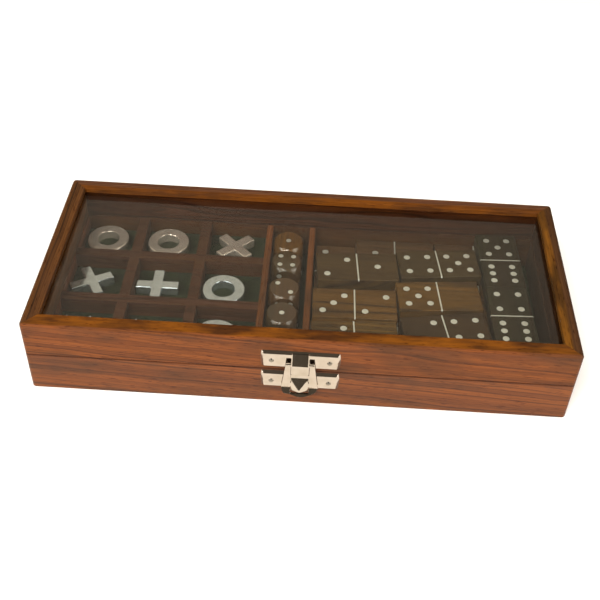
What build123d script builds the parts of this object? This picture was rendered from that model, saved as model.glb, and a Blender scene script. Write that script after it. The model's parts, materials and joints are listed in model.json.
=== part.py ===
"""Games compendium box: a rosewood box with a glazed, hinged lid and a nickelled clasp.

It holds a noughts-and-crosses board with nine loose pieces, a channel of dice and a
compartment of dominoes. Millimetres; X to the right, Y to the back, Z up. The origin is
the middle of the underside.
"""

from build123d import *
import os

# ---------------------------------------------------------------- driving dimensions

# Case
LENGTH = 292.0
DEPTH = 128.0
HEIGHT = 48.0
WALL = 8.8
SEAM_Z = 25.8
SEAM_GAP = 0.2
BOTTOM_THICKNESS = 4.0
BOTTOM_REBATE = 4.0
CORNER_RADIUS = 2.0
TOP_ARRIS = 1.5
SMALL_ARRIS = 0.4
BACK_CHAMFER = 1.8
BAIZE = 0.8

# Glass
GLASS_THICKNESS = 3.0
GLASS_RECESS = 3.0
GLASS_TONGUE = 3.0

# Inside fittings
STRIP = 6.0
DIVIDER = 3.6
BOARD_DIVIDER_X = -23.8
DOMINO_DIVIDER_X = 2.2
BOARD_FLOOR_Z = 15.6
BOARD_PANEL = 4.0
BEARER_WIDTH = 10.0
# Grid strips: centres of the two that run front to back, then of the two across.
LONG_STRIPS_X = [-101.9, -63.1]
CROSS_STRIPS_Y = [21.0, -17.7]

# Noughts and crosses
PIECE_THICKNESS = 6.0
NOUGHT_DIAMETER = 25.0
NOUGHT_HOLE = 13.0
NOUGHT_ROUNDING = 0.5
CROSS_LENGTH = 25.2
CROSS_ARM = 6.2
CROSS_ROUNDING = 0.5

# Dice
DIE = 18.0
DIE_SPHERE_RADIUS = 12.2
DIE_PIP_RADIUS = 1.5
DIE_PIP_DEPTH = 0.8
DIE_PIP_PITCH = 3.8

# Dominoes
TILE_LENGTH = 47.5
TILE_WIDTH = 24.0
TILE_THICKNESS = 7.9
TILE_CHAMFER = 0.4
TILE_PIP_RADIUS = 1.85
TILE_PIP_PITCH = 6.1
TILE_BAR = 0.8
INLAY_DEPTH = 1.0

# Hinges
HINGE_X = 92.0
HINGE_LENGTH = 24.0
HINGE_LEAF = 7.4
LEAF_THICKNESS = 0.9
LEAF_GAP = 0.1
KNUCKLES = 5
KNUCKLE_GAP = 0.2
BARREL_RADIUS = 2.0
BARREL_CLEARANCE = 0.15
AXIS_INSET = 1.0
PIN_RADIUS = 0.8
PIN_CLEARANCE = 0.07
HINGE_NAIL_X = 7.0

# Clasp
CLASP_X = 0.8
PLATE_WIDTH = 40.8
PLATE_BOW = 0.6
PLATE_RISE = 1.5
PLATE_SHEET = 0.6
PLATE_TAPER = 44.0
PLATE_CORNER = 0.9
CATCH_BOTTOM_Z = 28.2
CATCH_TOP_Z = 40.0
KEEPER_BOTTOM_Z = 13.0
KEEPER_TOP_Z = 24.9
STRAP_WIDTH = 9.4
STRAP_RISE = 5.0
STRAP_SHEET = 0.8
STRAP_TOP_Z = 39.2
STRAP_SHOULDER_Z = 33.4
STRAP_BOTTOM_Z = 27.3
STRAP_FLANGE = 0.55
PIVOT_Z = 33.0
PIVOT_RISE = 3.0
PIVOT_RADIUS = 0.9
LEVER_SHEET = 0.8
LEVER_TOP_WIDTH = 16.2
LEVER_WIDTH = 19.6
LEVER_WINDOW = 9.9
LEVER_END_RADIUS = 1.3
LIP_CREASE_Z = 15.5
LIP_LENGTH = 5.4
LIP_FLARE = 50.0
WINDOW_BOTTOM_Z = 13.7
NOSE_WIDTH = 9.2
NOSE_TOP_Z = 21.2
NOSE_BOTTOM_Z = 14.1
NOSE_RIDGE_Z = 15.5
NOSE_RISE = 5.0
NOSE_CHEEK_RISE = 4.0
NOSE_CHEEK_X = 3.9
CLASP_NAIL_X = 15.3
CATCH_NAIL_Z = 33.8
KEEPER_NAIL_Z = 18.3

# ---------------------------------------------------------------- derived sizes

INNER_LENGTH = LENGTH - 2 * WALL
INNER_DEPTH = DEPTH - 2 * WALL
WALL_TOP = SEAM_Z - SEAM_GAP / 2
LID_BOTTOM = SEAM_Z + SEAM_GAP / 2
FLOOR_Z = BOTTOM_THICKNESS + BAIZE
GLASS_TOP = HEIGHT - GLASS_RECESS
GLASS_BOTTOM = GLASS_TOP - GLASS_THICKNESS
BOARD_LEFT = -INNER_LENGTH / 2
BOARD_RIGHT = BOARD_DIVIDER_X - DIVIDER / 2
CHANNEL_LEFT = BOARD_DIVIDER_X + DIVIDER / 2
CHANNEL_RIGHT = DOMINO_DIVIDER_X - DIVIDER / 2
DOMINO_LEFT = DOMINO_DIVIDER_X + DIVIDER / 2
AXIS_Y = DEPTH / 2 - AXIS_INSET
STRIP_HEIGHT = WALL_TOP - BOARD_FLOOR_Z

# ---------------------------------------------------------------- where the loose pieces lie

# name, X, Y, turn in degrees
NOUGHTS = [
    ("nought_back_left", -122.2, 39.3, 0),
    ("nought_back_middle", -85.2, 39.2, 0),
    ("nought_middle_right", -47.2, -0.6, 0),
    ("nought_front_right", -47.3, -38.4, 0),
]
CROSSES = [
    ("cross_back_right", -44.2, 39.1, 44),
    ("cross_middle_left", -124.3, 0.7, 29),
    ("cross_middle_middle", -86.0, 0.3, 1),
    ("cross_front_left", -125.6, -39.6, 45),
    ("cross_front_middle", -86.9, -40.3, 41),
]
# name, Y, turn about Z, value on top
DICE = [
    ("die_1", 45.0, 1, 1),
    ("die_2", 26.3, -1, 4),
    ("die_3", 2.2, 92, 2),
    ("die_4", -18.9, -2, 1),
    ("die_5", -41.0, 1, 6),
]
DICE_X = -12.0
# left and right value, X, Y, turn
TOP_TILES = [
    (2, 1, 30.1, 17.7, 4.2),
    (4, 5, 78.0, 24.6, 6.8),
    (3, 2, 28.8, -14.2, 1.4),
    (5, 0, 76.9, -3.7, 5.4),
    (3, 1, 29.1, -40.3, 3.7),
    (2, 4, 79.4, -31.2, 9.6),
    (6, 5, 115.2, 30.7, 92.6),
    (6, 4, 117.1, -17.1, 92.6),
]
MIDDLE_VALUES = [(1, 0), (0, 3), (5, 5), (1, 6), (3, 4), (1, 1), (6, 6), (0, 6)]
MIDDLE_COLUMN = [(6, 2), (3, 3)]
BOTTOM_VALUES = [(0, 0), (0, 2), (0, 4), (1, 4), (1, 5), (2, 2), (2, 5), (3, 5)]
BOTTOM_COLUMN = [(3, 6), (4, 4)]
# Each lower layer: X of its two rows' tiles and of its column, Y of the rows, Y of the column
MIDDLE_X = (53.2, 101.8, 17.0)
MIDDLE_ROWS_Y = (40.6, 15.6, -9.4, -34.4)
MIDDLE_COLUMN_Y = (21.0, -27.6)
BOTTOM_X = (30.0, 78.8, 115.6)
BOTTOM_ROWS_Y = (42.4, 17.4, -7.6, -32.6)
BOTTOM_COLUMN_Y = (30.4, -18.2)

# Places of a value's pips, in steps of the pitch.
CORNER_PIPS = [(-1, -1), (1, 1), (-1, 1), (1, -1)]
PIPS = {
    0: [],
    1: [(0, 0)],
    2: CORNER_PIPS[:2],
    3: CORNER_PIPS[:2] + [(0, 0)],
    4: CORNER_PIPS,
    5: CORNER_PIPS + [(0, 0)],
    6: CORNER_PIPS + [(0, -1), (0, 1)],
}

os.makedirs("parts", exist_ok=True)


def save(solid, name):
    """Label a finished piece and write it."""
    solid.label = name
    export_step(solid, f"parts/{name}.step")


def block(x_range, y_range, z_range):
    """Make a plain block between two corners."""
    low = [min(pair) for pair in (x_range, y_range, z_range)]
    size = [abs(pair[1] - pair[0]) for pair in (x_range, y_range, z_range)]
    with BuildPart() as piece:
        with Locations(tuple(low)):
            Box(*size, align=(Align.MIN, Align.MIN, Align.MIN))
    return piece.part


def group(solids):
    """Join separate solids into one node."""
    with BuildPart() as node:
        add(solids)
    return node.part


# ---------------------------------------------------------------- nails


def nail(head_radius, head_height, shank_radius, length, domed=False):
    """Turn a nail with its head on Z = 0 and its shank pointing down."""
    with BuildPart() as piece:
        with BuildSketch(Plane.XZ):
            with BuildLine():
                if domed:
                    Spline(
                        (0, head_height),
                        (head_radius, 0),
                        tangents=[(1, 0), (0.35, -1)],
                    )
                    Polyline(
                        (head_radius, 0),
                        (shank_radius, 0),
                        (shank_radius, shank_radius - length),
                        (0, -length),
                        (0, head_height),
                    )
                else:
                    Polyline(
                        (0, 0),
                        (head_radius, 0),
                        (shank_radius, -head_height),
                        (shank_radius, shank_radius - length),
                        (0, -length),
                        (0, 0),
                    )
            make_face()
        revolve(axis=Axis.Z)
    return piece.part


hinge_nail = nail(1.1, 0.6, 0.5, 5.6)
clasp_nail = nail(1.35, 0.7, 0.6, 7.0, domed=True)

# A frame on the front face: its X runs right, its Y up and its Z outwards.
FRONT = Plane(origin=(CLASP_X, -DEPTH / 2, 0), x_dir=(1, 0, 0), z_dir=(0, -1, 0))
# Places of the hinge axes, and of the nails about them.
HINGES = [Location((x, AXIS_Y, SEAM_Z)) for x in (-HINGE_X, HINGE_X)]
LEAF_NAILS = [(x, -HINGE_LEAF * 0.58) for x in (-HINGE_NAIL_X, HINGE_NAIL_X)]


def leaf_nail_places(side):
    """Give the places of all nails of the lower (-1) or upper (1) leaves."""
    flip = (180, 0, 0) if side > 0 else (0, 0, 0)
    return [
        hinge * Location((x, y, side * LEAF_GAP), flip)
        for hinge in HINGES
        for x, y in LEAF_NAILS
    ]


def clasp_nail_places(height):
    """Give the places of the two nails of one clasp plate, heads outwards."""
    return [
        FRONT.location * Location((x, height, PLATE_RISE))
        for x in (-CLASP_NAIL_X, CLASP_NAIL_X)
    ]


# ---------------------------------------------------------------- case walls

# The four walls are made as one ring, so that their arrises run on, and cut apart.
with BuildPart() as wall_ring:
    with BuildSketch():
        Rectangle(LENGTH, DEPTH)
        Rectangle(INNER_LENGTH, INNER_DEPTH, mode=Mode.SUBTRACT)
    extrude(amount=WALL_TOP)
    with BuildSketch():
        Rectangle(INNER_LENGTH + 2 * BOTTOM_REBATE, INNER_DEPTH + 2 * BOTTOM_REBATE)
    extrude(amount=BOTTOM_THICKNESS, mode=Mode.SUBTRACT)
    outer_corners = wall_ring.edges().filter_by(Axis.Z).group_by(SortBy.DISTANCE)[-1]
    fillet(outer_corners, CORNER_RADIUS)
    fillet(wall_ring.faces().sort_by(Axis.Z)[0].outer_wire().edges(), CORNER_RADIUS / 2)
    top_face = wall_ring.faces().sort_by(Axis.Z)[-1]
    fillet(top_face.outer_wire().edges() + top_face.inner_wires().edges(), SMALL_ARRIS)

for name, left, right, front, back in [
    ("left_wall", -LENGTH / 2, -INNER_LENGTH / 2, -INNER_DEPTH / 2, INNER_DEPTH / 2),
    ("right_wall", INNER_LENGTH / 2, LENGTH / 2, -INNER_DEPTH / 2, INNER_DEPTH / 2),
]:
    with BuildPart() as side_wall:
        add(wall_ring.part)
        add(block((left, right), (front, back), (0, HEIGHT)), mode=Mode.INTERSECT)
    save(side_wall.part, name)

with BuildPart() as front_wall:
    add(wall_ring.part)
    add(
        block((-LENGTH, LENGTH), (-DEPTH, -INNER_DEPTH / 2), (0, HEIGHT)),
        mode=Mode.INTERSECT,
    )
    with Locations(clasp_nail_places(KEEPER_NAIL_Z)):
        add(clasp_nail, mode=Mode.SUBTRACT)
save(front_wall.part, "front_wall")


def hinge_recess(side):
    """Make the room that a leaf and the barrels need in a wall's edge."""
    reach = BARREL_RADIUS + BARREL_CLEARANCE
    depth = LEAF_THICKNESS + LEAF_GAP
    with BuildPart() as recess:
        with Locations((0, -HINGE_LEAF, 0)):
            Box(
                HINGE_LENGTH,
                HINGE_LEAF,
                2 * depth,
                align=(Align.CENTER, Align.MIN, Align.CENTER),
            )
        with Locations((0, -reach, 0)):
            Box(
                HINGE_LENGTH + 2 * BARREL_CLEARANCE,
                2 * reach,
                2 * reach,
                align=(Align.CENTER, Align.MIN, Align.CENTER),
            )
        with BuildSketch(Plane.YZ) as chamfer_section:
            with BuildLine():
                edge = AXIS_INSET
                Polyline(
                    (edge - BACK_CHAMFER, side * SEAM_GAP / 2),
                    (edge + BACK_CHAMFER, side * SEAM_GAP / 2),
                    (edge + BACK_CHAMFER, side * (SEAM_GAP / 2 + 2 * BACK_CHAMFER)),
                    close=True,
                )
            make_face()
        extrude(amount=LENGTH, both=True)
    return recess.part


with BuildPart() as back_wall:
    add(wall_ring.part)
    add(
        block((-LENGTH, LENGTH), (INNER_DEPTH / 2, DEPTH), (0, HEIGHT)),
        mode=Mode.INTERSECT,
    )
    with Locations(HINGES):
        add(hinge_recess(-1), mode=Mode.SUBTRACT)
    with Locations(leaf_nail_places(-1)):
        add(hinge_nail, mode=Mode.SUBTRACT)
save(back_wall.part, "back_wall")

# ---------------------------------------------------------------- bottom and linings

bottom_panel = block(
    (-INNER_LENGTH / 2 - BOTTOM_REBATE, INNER_LENGTH / 2 + BOTTOM_REBATE),
    (-INNER_DEPTH / 2 - BOTTOM_REBATE, INNER_DEPTH / 2 + BOTTOM_REBATE),
    (0, BOTTOM_THICKNESS),
)
save(bottom_panel, "bottom_panel")

inner_y = (-INNER_DEPTH / 2, INNER_DEPTH / 2)
board_x = (BOARD_LEFT, BOARD_RIGHT)
panel_z = (BOARD_FLOOR_Z - BAIZE - BOARD_PANEL, BOARD_FLOOR_Z - BAIZE)
save(block(board_x, inner_y, panel_z), "board_panel")

bearer_centres = [
    BOARD_LEFT + BEARER_WIDTH / 2,
    (BOARD_LEFT + BOARD_RIGHT) / 2,
    BOARD_RIGHT - BEARER_WIDTH / 2,
]
bearers = [
    block(
        (x - BEARER_WIDTH / 2, x + BEARER_WIDTH / 2),
        inner_y,
        (BOTTOM_THICKNESS, panel_z[0]),
    )
    for x in bearer_centres
]
save(group(bearers), "board_bearers")

linings = [
    block(board_x, inner_y, (panel_z[1], BOARD_FLOOR_Z)),
    block((CHANNEL_LEFT, CHANNEL_RIGHT), inner_y, (BOTTOM_THICKNESS, FLOOR_Z)),
    block((DOMINO_LEFT, INNER_LENGTH / 2), inner_y, (BOTTOM_THICKNESS, FLOOR_Z)),
]
save(group(linings), "baize_linings")

# ---------------------------------------------------------------- grid strips and dividers

half_height = STRIP_HEIGHT / 2
strips = []
for x in LONG_STRIPS_X:
    with BuildPart() as long_strip:
        add(block((x - STRIP / 2, x + STRIP / 2), inner_y, (BOARD_FLOOR_Z, WALL_TOP)))
        # Halved from below, where the cross strips pass.
        with Locations([(x, y, BOARD_FLOOR_Z) for y in CROSS_STRIPS_Y]):
            Box(
                STRIP,
                STRIP,
                half_height,
                align=(Align.CENTER, Align.CENTER, Align.MIN),
                mode=Mode.SUBTRACT,
            )
    strips.append(long_strip.part)
for y in CROSS_STRIPS_Y:
    with BuildPart() as cross_strip:
        add(block(board_x, (y - STRIP / 2, y + STRIP / 2), (BOARD_FLOOR_Z, WALL_TOP)))
        # Halved from above, where the long strips pass.
        with Locations([(x, y, WALL_TOP) for x in LONG_STRIPS_X]):
            Box(
                STRIP,
                STRIP,
                half_height,
                align=(Align.CENTER, Align.CENTER, Align.MAX),
                mode=Mode.SUBTRACT,
            )
    strips.append(cross_strip.part)
save(Compound(children=strips), "grid_strips")

dividers = [
    block((x - DIVIDER / 2, x + DIVIDER / 2), inner_y, (BOTTOM_THICKNESS, WALL_TOP))
    for x in (BOARD_DIVIDER_X, DOMINO_DIVIDER_X)
]
save(group(dividers), "dividers")

# ---------------------------------------------------------------- lid

with BuildPart() as lid_ring:
    with BuildSketch(Plane.XY.offset(LID_BOTTOM)):
        Rectangle(LENGTH, DEPTH)
        Rectangle(INNER_LENGTH, INNER_DEPTH, mode=Mode.SUBTRACT)
    extrude(amount=HEIGHT - LID_BOTTOM)
    outer_corners = lid_ring.edges().filter_by(Axis.Z).group_by(SortBy.DISTANCE)[-1]
    fillet(outer_corners, CORNER_RADIUS)
    low_face = lid_ring.faces().sort_by(Axis.Z)[0]
    fillet(low_face.outer_wire().edges() + low_face.inner_wires().edges(), SMALL_ARRIS)
    top_face = lid_ring.faces().sort_by(Axis.Z)[-1]
    fillet(top_face.inner_wires().edges(), SMALL_ARRIS)
    fillet(lid_ring.faces().sort_by(Axis.Z)[-1].outer_wire().edges(), TOP_ARRIS)
    # Groove for the glass
    with BuildSketch(Plane.XY.offset(GLASS_BOTTOM)):
        Rectangle(INNER_LENGTH + 2 * GLASS_TONGUE, INNER_DEPTH + 2 * GLASS_TONGUE)
    extrude(amount=GLASS_THICKNESS, mode=Mode.SUBTRACT)


def lid_rail(corners):
    """Cut one mitred rail out of the lid's frame.

    The rail runs between two neighbouring corners, given as signs of X and Y.
    """
    outer = [(x * LENGTH / 2, y * DEPTH / 2) for x, y in corners]
    inner = [(x * INNER_LENGTH / 2, y * INNER_DEPTH / 2) for x, y in reversed(corners)]
    with BuildPart() as rail:
        with BuildSketch():
            with BuildLine():
                Polyline(*outer, *inner, close=True)
            make_face()
        extrude(amount=HEIGHT)
        add(lid_ring.part, mode=Mode.INTERSECT)
    return rail.part


save(lid_rail([(-1, 1), (-1, -1)]), "lid_left_rail")
save(lid_rail([(1, -1), (1, 1)]), "lid_right_rail")

with BuildPart() as lid_front_rail:
    add(lid_rail([(-1, -1), (1, -1)]))
    with Locations(clasp_nail_places(CATCH_NAIL_Z)):
        add(clasp_nail, mode=Mode.SUBTRACT)
save(lid_front_rail.part, "lid_front_rail")

with BuildPart() as lid_back_rail:
    add(lid_rail([(1, 1), (-1, 1)]))
    with Locations(HINGES):
        add(hinge_recess(1), mode=Mode.SUBTRACT)
    with Locations(leaf_nail_places(1)):
        add(hinge_nail, mode=Mode.SUBTRACT)
save(lid_back_rail.part, "lid_back_rail")

glass_pane = block(
    (-INNER_LENGTH / 2 - GLASS_TONGUE, INNER_LENGTH / 2 + GLASS_TONGUE),
    (-INNER_DEPTH / 2 - GLASS_TONGUE, INNER_DEPTH / 2 + GLASS_TONGUE),
    (GLASS_BOTTOM, GLASS_TOP),
)
save(glass_pane, "glass_pane")

# ---------------------------------------------------------------- hinges

knuckle_pitch = (HINGE_LENGTH + KNUCKLE_GAP) / KNUCKLES
knuckle_centres = [
    (index - (KNUCKLES - 1) / 2) * knuckle_pitch for index in range(KNUCKLES)
]


def hinge_leaf(side):
    """Make the lower (-1) or upper (1) leaf about its own axis, which runs along X."""
    own = knuckle_centres[0::2] if side < 0 else knuckle_centres[1::2]
    other = knuckle_centres[1::2] if side < 0 else knuckle_centres[0::2]
    bore = PIN_RADIUS if side < 0 else PIN_RADIUS + PIN_CLEARANCE
    notch = BARREL_RADIUS + BARREL_CLEARANCE
    with BuildPart() as leaf:
        with Locations((0, -HINGE_LEAF / 2, side * (LEAF_GAP + LEAF_THICKNESS / 2))):
            Box(HINGE_LENGTH, HINGE_LEAF, LEAF_THICKNESS)
        with Locations([(x, -notch, 0) for x in other]):
            Box(
                knuckle_pitch + KNUCKLE_GAP,
                2 * notch,
                2 * notch,
                align=(Align.CENTER, Align.MIN, Align.CENTER),
                mode=Mode.SUBTRACT,
            )
        with Locations([Location((x, 0, 0), (0, 90, 0)) for x in own]):
            Cylinder(BARREL_RADIUS, knuckle_pitch - KNUCKLE_GAP)
        with Locations(Location((0, 0, 0), (0, 90, 0))):
            Cylinder(bore, 2 * HINGE_LENGTH, mode=Mode.SUBTRACT)
        flip = (180, 0, 0) if side > 0 else (0, 0, 0)
        with Locations([Location((x, y, side * LEAF_GAP), flip) for x, y in LEAF_NAILS]):
            add(hinge_nail, mode=Mode.SUBTRACT)
    return leaf.part


for name, side in (("box_hinge_leaves", -1), ("lid_hinge_leaves", 1)):
    with BuildPart() as leaves:
        with Locations(HINGES):
            add(hinge_leaf(side))
    save(leaves.part, name)

with BuildPart() as hinge_pins:
    with Locations([hinge * Location((0, 0, 0), (0, 90, 0)) for hinge in HINGES]):
        Cylinder(PIN_RADIUS, HINGE_LENGTH)
save(hinge_pins.part, "hinge_pins")

# ---------------------------------------------------------------- clasp


def clasp_tray(bottom, top, nail_height):
    """Press one clasp plate: a shallow tray with bevelled edges and bowed ends."""
    height = top - bottom
    half = PLATE_WIDTH / 2
    with BuildPart() as tray:
        with BuildSketch(FRONT) as outline:
            with BuildLine():
                Line((-half, top), (half, top))
                SagittaArc((half, top), (half, bottom), PLATE_BOW)
                Line((half, bottom), (-half, bottom))
                SagittaArc((-half, bottom), (-half, top), PLATE_BOW)
            make_face()
            fillet(outline.vertices(), PLATE_CORNER)
        extrude(amount=PLATE_RISE, taper=PLATE_TAPER)
        with BuildSketch(FRONT):
            with Locations((0, (bottom + top) / 2)):
                Rectangle(PLATE_WIDTH - 2 * PLATE_SHEET, height - 2 * PLATE_SHEET)
        extrude(
            amount=PLATE_RISE - PLATE_SHEET,
            taper=PLATE_TAPER,
            mode=Mode.SUBTRACT,
        )
        with Locations(clasp_nail_places(nail_height)):
            add(clasp_nail, mode=Mode.SUBTRACT)
    return tray.part


# The side plane of the front frame, for sections across the clasp: its X runs outwards
# and its Y up.
SECTION = Plane(origin=(CLASP_X, -DEPTH / 2, 0), x_dir=(0, -1, 0), z_dir=(-1, 0, 0))

# Strap: it slopes out of the plate, passes over the lever's bar and hangs down.
with BuildPart() as strap:
    with BuildSketch(SECTION) as strap_section:
        with BuildLine() as strap_line:
            FilletPolyline(
                (PLATE_RISE - PLATE_SHEET, STRAP_TOP_Z),
                (PLATE_RISE, STRAP_TOP_Z - 0.3),
                (STRAP_RISE - STRAP_SHEET / 2, STRAP_SHOULDER_Z),
                (STRAP_RISE - STRAP_SHEET / 2, STRAP_BOTTOM_Z),
                radius=0.5,
            )
        trace(line_width=STRAP_SHEET)
    extrude(amount=STRAP_WIDTH / 2, both=True)
    # Bright flanges along both sides of the slope
    slope = max(
        (face for face in strap.faces() if 0.2 < face.normal_at().Z < 0.8),
        key=lambda face: face.area,
    )
    chamfer([edge for edge in slope.edges() if abs(edge.tangent_at(0).X) < 0.1], STRAP_FLANGE)

with BuildPart() as catch_plate:
    add(clasp_tray(CATCH_BOTTOM_Z, CATCH_TOP_Z, CATCH_NAIL_Z))
    add(strap.part)
save(catch_plate.part, "catch_plate")

with BuildPart() as nose:
    with BuildSketch(FRONT):
        with Locations((0, (NOSE_TOP_Z + NOSE_BOTTOM_Z) / 2)):
            Rectangle(NOSE_WIDTH, NOSE_TOP_Z - NOSE_BOTTOM_Z)
    extrude(amount=2 * NOSE_RISE)
    # Two planes lean in to the nose's ridge and one slopes up to the plate.
    root_left = FRONT.from_local_coords((-NOSE_WIDTH / 2, NOSE_TOP_Z, PLATE_RISE))
    root_right = FRONT.from_local_coords((NOSE_WIDTH / 2, NOSE_TOP_Z, PLATE_RISE))
    ridge = FRONT.from_local_coords((0, NOSE_RIDGE_Z, NOSE_RISE))
    cheeks = [
        FRONT.from_local_coords((x, NOSE_BOTTOM_Z, NOSE_CHEEK_RISE))
        for x in (-NOSE_CHEEK_X, NOSE_CHEEK_X)
    ]
    top_normal = (root_right - root_left).cross(ridge - root_left)
    left_normal = (ridge - root_left).cross(cheeks[0] - root_left)
    right_normal = (cheeks[1] - root_right).cross(ridge - root_right)
    for origin, normal in (
        (root_left, top_normal),
        (root_left, left_normal),
        (root_right, right_normal),
    ):
        outwards = normal if normal.Y < 0 else -normal
        split(bisect_by=Plane(origin=origin, z_dir=outwards), keep=Keep.BOTTOM)

with BuildPart() as keeper_plate:
    add(clasp_tray(KEEPER_BOTTOM_Z, KEEPER_TOP_Z, KEEPER_NAIL_Z))
    add(nose.part)
    # The nose is pressed out of the sheet, so it is hollow behind.
    with BuildSketch(FRONT):
        with Locations((0, (NOSE_TOP_Z + NOSE_BOTTOM_Z) / 2)):
            Rectangle(NOSE_WIDTH - 3, NOSE_TOP_Z - NOSE_BOTTOM_Z - 3)
    extrude(amount=PLATE_RISE, mode=Mode.SUBTRACT)
save(keeper_plate.part, "keeper_plate")

# Lever: two arms on a bar, joined below by a lip that flares outwards.
lever_back = PIVOT_RISE - LEVER_SHEET / 2
lip_plane = Plane(
    origin=FRONT.from_local_coords((0, LIP_CREASE_Z, lever_back)),
    x_dir=(1, 0, 0),
    z_dir=FRONT.z_dir.rotate(Axis.X, -LIP_FLARE),
)
with BuildPart() as clasp_lever:
    with BuildSketch(FRONT.offset(lever_back)):
        with BuildLine():
            Polyline(
                (-LEVER_WIDTH / 2, LIP_CREASE_Z),
                (-LEVER_TOP_WIDTH / 2, PIVOT_Z - 4),
                (-LEVER_TOP_WIDTH / 2 + 0.6, PIVOT_Z + LEVER_END_RADIUS),
                (LEVER_TOP_WIDTH / 2 - 0.6, PIVOT_Z + LEVER_END_RADIUS),
                (LEVER_TOP_WIDTH / 2, PIVOT_Z - 4),
                (LEVER_WIDTH / 2, LIP_CREASE_Z),
                close=True,
            )
        make_face()
    extrude(amount=LEVER_SHEET)
    with BuildSketch(lip_plane):
        with BuildLine():
            Line((-LEVER_WIDTH / 2, 0), (LEVER_WIDTH / 2, 0))
            Spline(
                (LEVER_WIDTH / 2, 0),
                (LEVER_WIDTH * 0.32, -LIP_LENGTH * 0.72),
                (0, -LIP_LENGTH),
                (-LEVER_WIDTH * 0.32, -LIP_LENGTH * 0.72),
                (-LEVER_WIDTH / 2, 0),
                tangents=[(-0.15, -1), (-0.15, 1)],
            )
        make_face()
    extrude(amount=LEVER_SHEET)
    # Window over the nose, and the room between the arms above it
    with BuildSketch(FRONT):
        with Locations((0, WINDOW_BOTTOM_Z)):
            Rectangle(LEVER_WINDOW, HEIGHT, align=(Align.CENTER, Align.MIN))
    extrude(amount=3 * NOSE_RISE, mode=Mode.SUBTRACT)
    pivot = FRONT.from_local_coords((0, PIVOT_Z, PIVOT_RISE))
    with Locations(Location(pivot, (0, 90, 0))):
        Cylinder(PIVOT_RADIUS, LEVER_TOP_WIDTH - 1.2)
save(clasp_lever.part, "clasp_lever")

# ---------------------------------------------------------------- nails in their places

with BuildPart() as box_nails:
    with Locations(leaf_nail_places(-1)):
        add(hinge_nail)
    with Locations(clasp_nail_places(KEEPER_NAIL_Z)):
        add(clasp_nail)
save(box_nails.part, "box_nails")

with BuildPart() as lid_nails:
    with Locations(leaf_nail_places(1)):
        add(hinge_nail)
    with Locations(clasp_nail_places(CATCH_NAIL_Z)):
        add(clasp_nail)
save(lid_nails.part, "lid_nails")

# ---------------------------------------------------------------- noughts and crosses

with BuildPart() as nought:
    with BuildSketch():
        Circle(NOUGHT_DIAMETER / 2)
        Circle(NOUGHT_HOLE / 2, mode=Mode.SUBTRACT)
    extrude(amount=PIECE_THICKNESS)
    fillet(nought.edges().filter_by(GeomType.CIRCLE), NOUGHT_ROUNDING)

with BuildPart() as cross:
    with BuildSketch():
        Rectangle(CROSS_LENGTH, CROSS_ARM)
        Rectangle(CROSS_ARM, CROSS_LENGTH)
    extrude(amount=PIECE_THICKNESS)
    fillet(cross.edges().filter_by(Axis.Z), CROSS_ROUNDING / 2)
    fillet(cross.faces().filter_by(Axis.Z).edges(), CROSS_ROUNDING)

for places, pattern in ((NOUGHTS, nought), (CROSSES, cross)):
    for name, x, y, turn in places:
        with BuildPart() as piece:
            with Locations(Location((x, y, BOARD_FLOOR_Z), (0, 0, turn))):
                add(pattern.part)
        save(piece.part, name)

# ---------------------------------------------------------------- dice

# Turns that bring each face of a die outwards; opposite faces add up to seven.
DIE_FACES = {
    1: (0, 0, 0),
    6: (180, 0, 0),
    2: (90, 0, 0),
    5: (-90, 0, 0),
    3: (0, 90, 0),
    4: (0, -90, 0),
}

with BuildPart() as die_blank:
    Box(DIE, DIE, DIE)
    Sphere(DIE_SPHERE_RADIUS, mode=Mode.INTERSECT)

with BuildPart() as die_pips:
    for value, turn in DIE_FACES.items():
        face = Location((0, 0, 0), turn)
        spots = [
            face * Location((x * DIE_PIP_PITCH, y * DIE_PIP_PITCH, DIE / 2))
            for x, y in PIPS[value]
        ]
        with Locations(spots):
            Cylinder(
                DIE_PIP_RADIUS,
                DIE_PIP_DEPTH,
                align=(Align.CENTER, Align.CENTER, Align.MAX),
            )

with BuildPart() as die_body:
    add(die_blank.part)
    add(die_pips.part, mode=Mode.SUBTRACT)

for name, y, yaw, top in DICE:
    # Undo the face's own turn, so that the face points up.
    tilt = Location((0, 0, 0), DIE_FACES[top]).inverse()
    place = Location((DICE_X, y, FLOOR_Z + DIE / 2), (0, 0, yaw)) * tilt
    with BuildPart() as die:
        with Locations(place):
            add(die_body.part)
    save(die.part, name)
    with BuildPart() as pips:
        with Locations(place):
            add(die_pips.part)
    save(pips.part, name + "_pips")

# ---------------------------------------------------------------- dominoes

with BuildPart() as tile_blank:
    Box(TILE_LENGTH, TILE_WIDTH, TILE_THICKNESS, align=(Align.CENTER, Align.CENTER, Align.MIN))
    chamfer(tile_blank.edges(), TILE_CHAMFER)


def tile_inlay(left, right):
    """Make a tile's centre bar and pips, sunk flush with its face."""
    spots = [
        (side * TILE_LENGTH / 4 + x * TILE_PIP_PITCH, y * TILE_PIP_PITCH)
        for side, value in ((-1, left), (1, right))
        for x, y in PIPS[value]
    ]
    with BuildPart() as inlay:
        with BuildSketch(Plane.XY.offset(TILE_THICKNESS - INLAY_DEPTH)):
            Rectangle(TILE_BAR, TILE_WIDTH)
            if spots:
                with Locations(spots):
                    Circle(TILE_PIP_RADIUS)
        extrude(amount=INLAY_DEPTH)
        add(tile_blank.part, mode=Mode.INTERSECT)
    return inlay.part


def tile_body(inlay):
    """Make a tile with the sockets that its inlay fills."""
    with BuildPart() as body:
        add(tile_blank.part)
        add(inlay, mode=Mode.SUBTRACT)
    return body.part


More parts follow.
